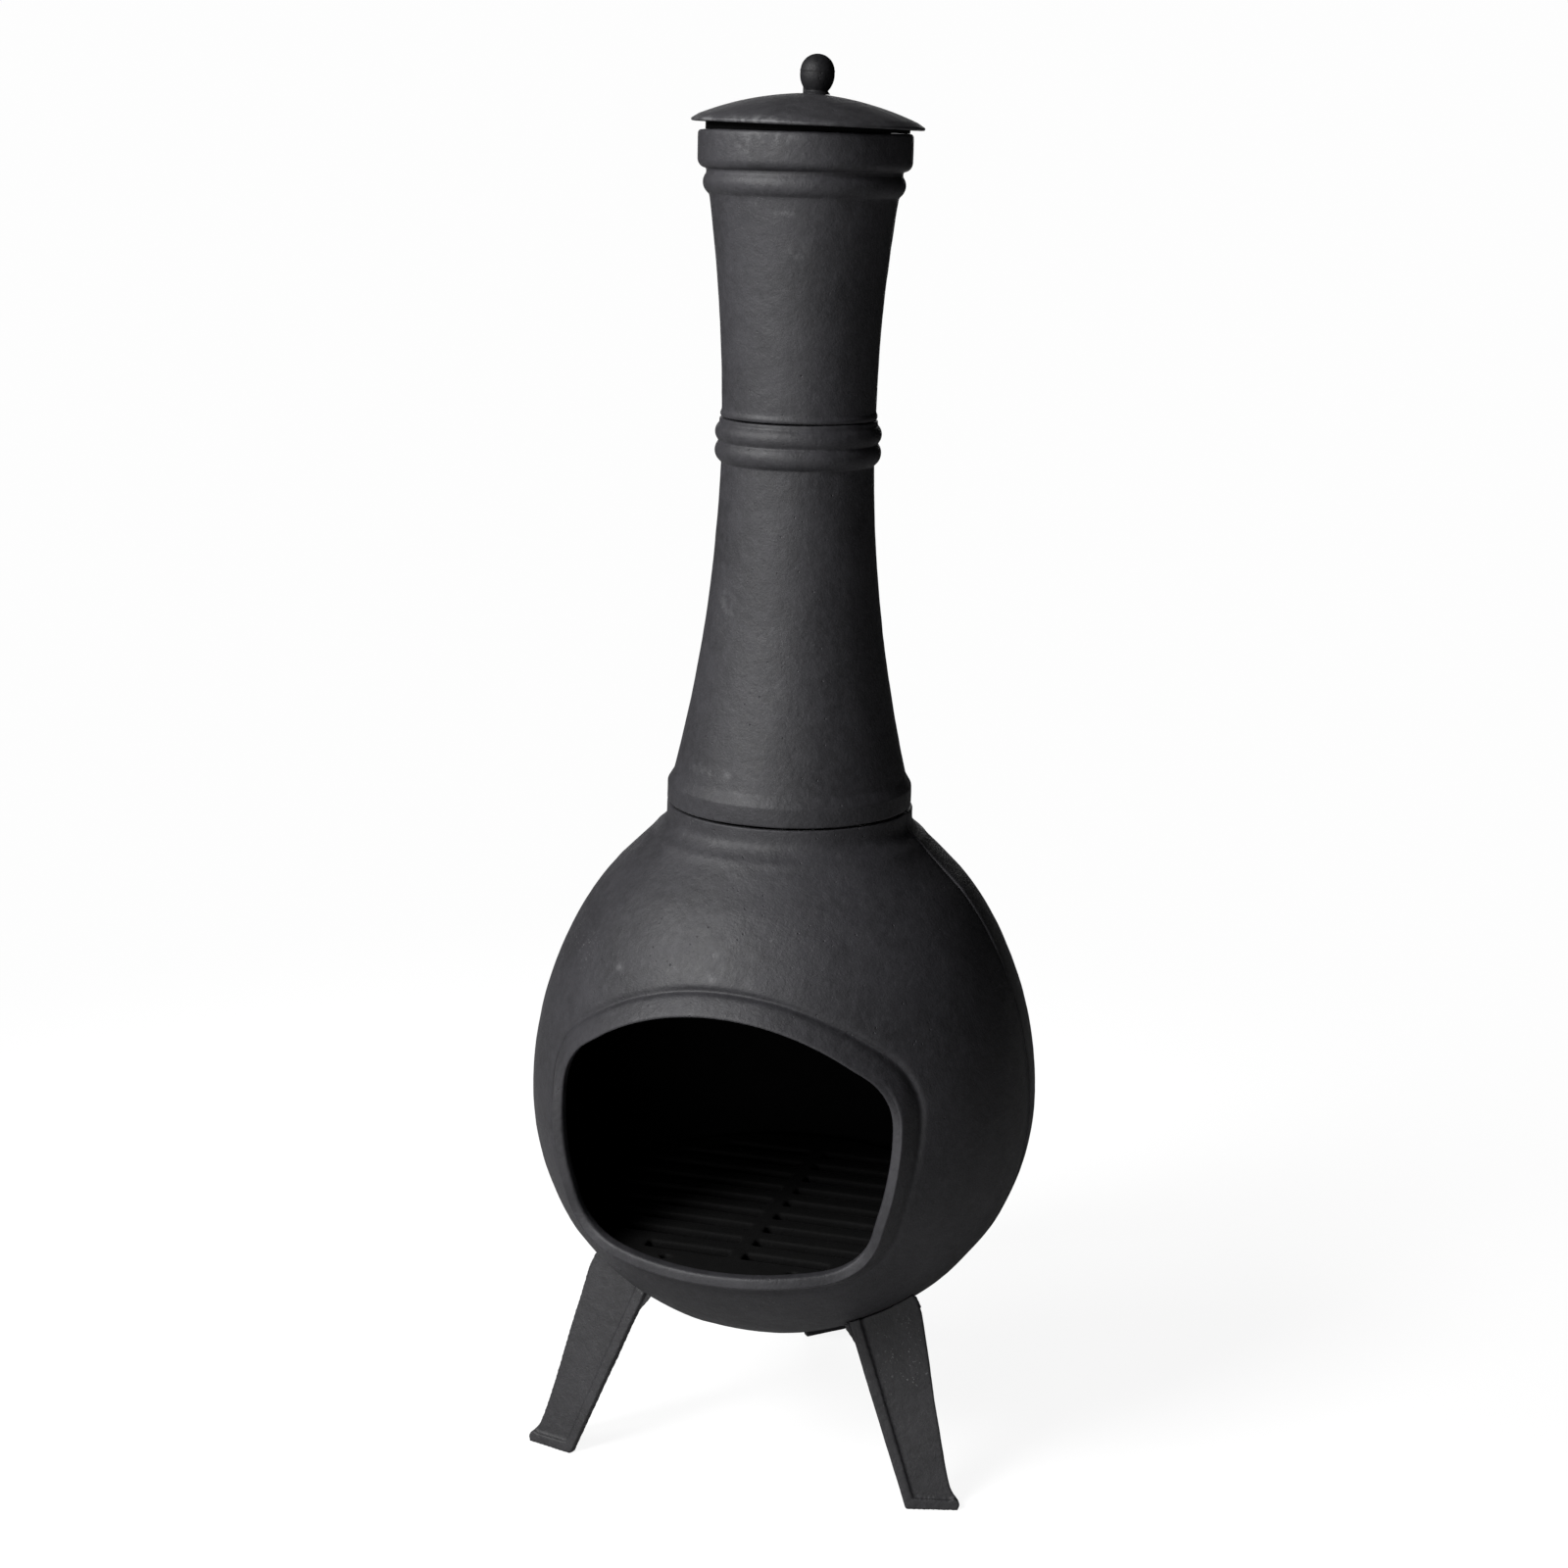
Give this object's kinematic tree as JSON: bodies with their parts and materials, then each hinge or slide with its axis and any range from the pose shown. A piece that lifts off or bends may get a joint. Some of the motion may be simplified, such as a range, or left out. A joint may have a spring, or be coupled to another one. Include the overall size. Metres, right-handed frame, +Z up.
{
  "type": "chiminea",
  "caption": "Free-standing cast-iron garden chiminea: pear-shaped two-part fire bowl with a framed mouth, bolted two-part flue, loose rain lid, loose grate and tripod legs.",
  "frame": {"origin": "on the floor, on the flue's axis, midway between the feet and the bowl's extents", "axes": "+Z up along the flue axis; the mouth of the bowl faces -Y; +X is to the right when the mouth is seen from the front"},
  "size_m": [0.4134, 0.4012, 1.12],
  "materials": {
    "shell_iron": "matt heat-resistant black paint on sand-cast iron",
    "flue_iron": "matt heat-resistant black paint on sand-cast iron",
    "lid_iron": "matt heat-resistant black paint on sand-cast iron",
    "leg_iron": "matt heat-resistant black paint on sand-cast iron",
    "grate_iron": "bare sooty cast iron",
    "fastener_steel": "dull blackened steel"
  },
  "bodies": {
    "base": {"belly_front_shell": "shell_iron", "belly_rear_shell": "shell_iron", "flue_lower": "flue_iron", "flue_upper": "flue_iron", "leg_front_left": "leg_iron", "leg_front_right": "leg_iron", "leg_rear": "leg_iron", "shell_bolts": "fastener_steel", "shell_washers": "fastener_steel", "shell_nuts": "fastener_steel", "flue_base_bolts": "fastener_steel", "flue_base_washers": "fastener_steel", "flue_base_nuts": "fastener_steel", "flue_joint_bolts": "fastener_steel", "flue_joint_washers": "fastener_steel", "flue_joint_nuts": "fastener_steel", "leg_bolts": "fastener_steel", "leg_washers": "fastener_steel"},
    "lid": {"rain_lid": "lid_iron", "lid_knob": "lid_iron", "lid_knob_screw": "fastener_steel", "lid_knob_washer": "fastener_steel"},
    "grate": {"fire_grate": "grate_iron"}
  },
  "joints": [
    {"name": "lid_lift", "type": "slide", "parent": "base", "child": "lid", "axis": [0, 0, 1], "range_m": [0, 0.1]},
    {"name": "grate_lift", "type": "slide", "parent": "base", "child": "grate", "axis": [0, 0, 1], "range_m": [0, 0.06]}
  ]
}
